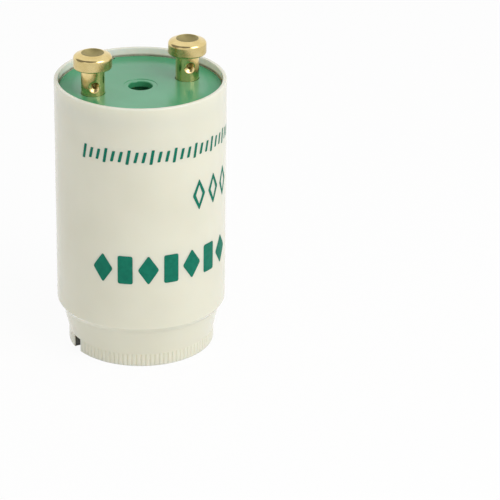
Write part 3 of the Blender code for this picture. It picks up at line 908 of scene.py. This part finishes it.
def make_marks(material):
    """All the printed marks as one thin layer wrapped round the can."""
    shape = bmesh.new()
    for outer, hole in all_marks():
        ring = [shape.verts.new((p.x, p.y, 0.0)) for p in outer]
        inner = [shape.verts.new((p.x, p.y, 0.0)) for p in hole]
        if not inner:
            shape.faces.new(ring)
            continue
        for i in range(len(ring)):
            k = (i + 1) % len(ring)
            shape.faces.new((ring[i], ring[k], inner[k], inner[i]))
    low = min(v.co.x for v in shape.verts)
    high = max(v.co.x for v in shape.verts)
    for k in range(1, int((high - low) / INK_STEP) + 1):
        geometry = shape.verts[:] + shape.edges[:] + shape.faces[:]
        bmesh.ops.bisect_plane(
            shape, geom=geometry, dist=INK_MERGE,
            plane_co=(low + k * INK_STEP, 0, 0), plane_no=(1, 0, 0),
        )
    radius = BODY_RADIUS + INK
    for vert in shape.verts:
        angle = vert.co.x / BODY_RADIUS
        vert.co = (radius * math.cos(angle), radius * math.sin(angle), vert.co.y)
    marks = from_bmesh("printed_marks", shape)
    solidify = marks.modifiers.new("thickness", "SOLIDIFY")
    solidify.thickness = INK + INK_SINK
    solidify.offset = -1.0
    fix_modifiers(marks)
    finish_piece(marks, material, "green_plastic")


def make_camera():
    """The camera, swung round the part, then panned, tilted and rolled."""
    camera = bpy.data.cameras.new("camera")
    camera.sensor_width = CAMERA_SENSOR * MM_PER_METRE
    camera.lens = CAMERA_LENS * MM_PER_METRE
    camera.clip_start = CAMERA_NEAR
    camera.clip_end = CAMERA_FAR
    obj = placed("camera", camera)
    place = Matrix.Rotation(CAMERA_ROUND, 4, "Z") @ Matrix.Translation(
        (0.0, -CAMERA_REACH, CAMERA_HEIGHT)
    )
    pan = Matrix.Rotation(-CAMERA_PAN, 4, "Z")
    tilt = Matrix.Rotation(math.pi / 2 - CAMERA_TILT, 4, "X")
    roll = Matrix.Rotation(CAMERA_ROLL, 4, "Z")
    obj.matrix_world = place @ pan @ tilt @ roll
    bpy.context.scene.camera = obj


def direction_to(azimuth, elevation):
    """The unit vector towards a direction given in degrees."""
    a, e = math.radians(azimuth), math.radians(elevation)
    return Vector((math.cos(a) * math.cos(e), math.sin(a) * math.cos(e), math.sin(e)))


def make_key_light():
    """The softbox, a square area light aimed at the can."""
    light = bpy.data.lights.new("key_light", "AREA")
    light.shape = "SQUARE"
    light.size = KEY_SIZE
    light.energy = KEY_POWER
    obj = placed("key_light", light)
    away = direction_to(KEY_AZIMUTH, KEY_ELEVATION)
    obj.location = Vector((0.0, 0.0, BODY_TOP / 2)) + away * KEY_DISTANCE
    obj.rotation_euler = away.to_track_quat("Z", "Y").to_euler()


def seen_directly(tree):
    """1 for camera, glossy and transmission rays, otherwise 0."""
    path = tree.nodes.new("ShaderNodeLightPath")
    total = path.outputs["Is Camera Ray"]
    for name in ("Is Glossy Ray", "Is Transmission Ray"):
        total = combined(tree, "MAXIMUM", total, path.outputs[name])
    return total


def dark_place(tree, direction, azimuth, elevation):
    """DARK_LEVEL towards one place in the room, and 1 away from it."""
    towards = tree.nodes.new("ShaderNodeVectorMath")
    towards.operation = "DOT_PRODUCT"
    towards.inputs[1].default_value = direction_to(azimuth, elevation)
    tree.links.new(direction, towards.inputs[0])
    edge, core = math.cos(math.radians(DARK_EDGE)), math.cos(math.radians(DARK_CORE))
    made = map_range(tree, towards.outputs["Value"], edge, core, 1.0, DARK_LEVEL)
    made.interpolation_type = "SMOOTHSTEP"
    return made.outputs["Result"]


def make_world():
    """White where it is seen or mirrored, but for the dark places, and lower as a light."""
    world = bpy.data.worlds.new("world")
    bpy.context.scene.world = world
    world.use_nodes = True
    tree = world.node_tree
    background = tree.nodes["Background"]
    background.inputs["Color"].default_value = (1.0, 1.0, 1.0, 1.0)
    direction = tree.nodes.new("ShaderNodeTexCoord").outputs["Generated"]
    first, second = (dark_place(tree, direction, *place) for place in DARK_PLACES)
    spread = map_range(tree, seen_directly(tree), 0.0, 1.0, at_start=ROOM_LEVEL)
    tree.links.new(combined(tree, "MULTIPLY", first, second), spread.inputs["To Max"])
    tree.links.new(spread.outputs["Result"], background.inputs["Strength"])


def make_floor():
    """A wide white table that keeps a soft shadow and is otherwise seen as white."""
    shape = bmesh.new()
    bmesh.ops.create_grid(shape, x_segments=1, y_segments=1, size=FLOOR_REACH)
    floor = from_bmesh("floor", shape)
    floor.location.z = -FLOOR_DROP
    material, tree, shader = new_material("white_table", colour=(0.92, 0.92, 0.91), roughness=0.9)
    shader.inputs["Specular IOR Level"].default_value = 0.0
    glow = tree.nodes.new("ShaderNodeEmission")
    mix = tree.nodes.new("ShaderNodeMixShader")
    share = map_range(tree, seen_directly(tree), 0.0, 1.0, at_end=FLOOR_WHITENESS)
    tree.links.new(share.outputs["Result"], mix.inputs["Fac"])
    tree.links.new(shader.outputs["BSDF"], mix.inputs[1])
    tree.links.new(glow.outputs["Emission"], mix.inputs[2])
    tree.links.new(mix.outputs["Shader"], tree.nodes["Material Output"].inputs["Surface"])
    floor.data.materials.append(material)


def main():
    bpy.context.scene.view_settings.view_transform = "Standard"
    metal = brass()
    make_can(white_plastic())
    make_disc(green_plastic())
    for side, x, dent in PINS:
        make_pin(side, x, dent, metal)
    make_marks(ink())
    leads = ("lead_wire_left", "lead_wire_right", "capacitor_lead_left", "capacitor_lead_right")
    dress(("bulb_envelope", "bulb_stem"), glass())
    dress(("bimetal_strip",), drawn_metal("bimetal", BIMETAL))
    dress(("fixed_electrode", *leads), drawn_metal("nickel", NICKEL))
    dress(("capacitor",), resin())
    make_camera()
    make_world()
    make_floor()
    make_key_light()


main()
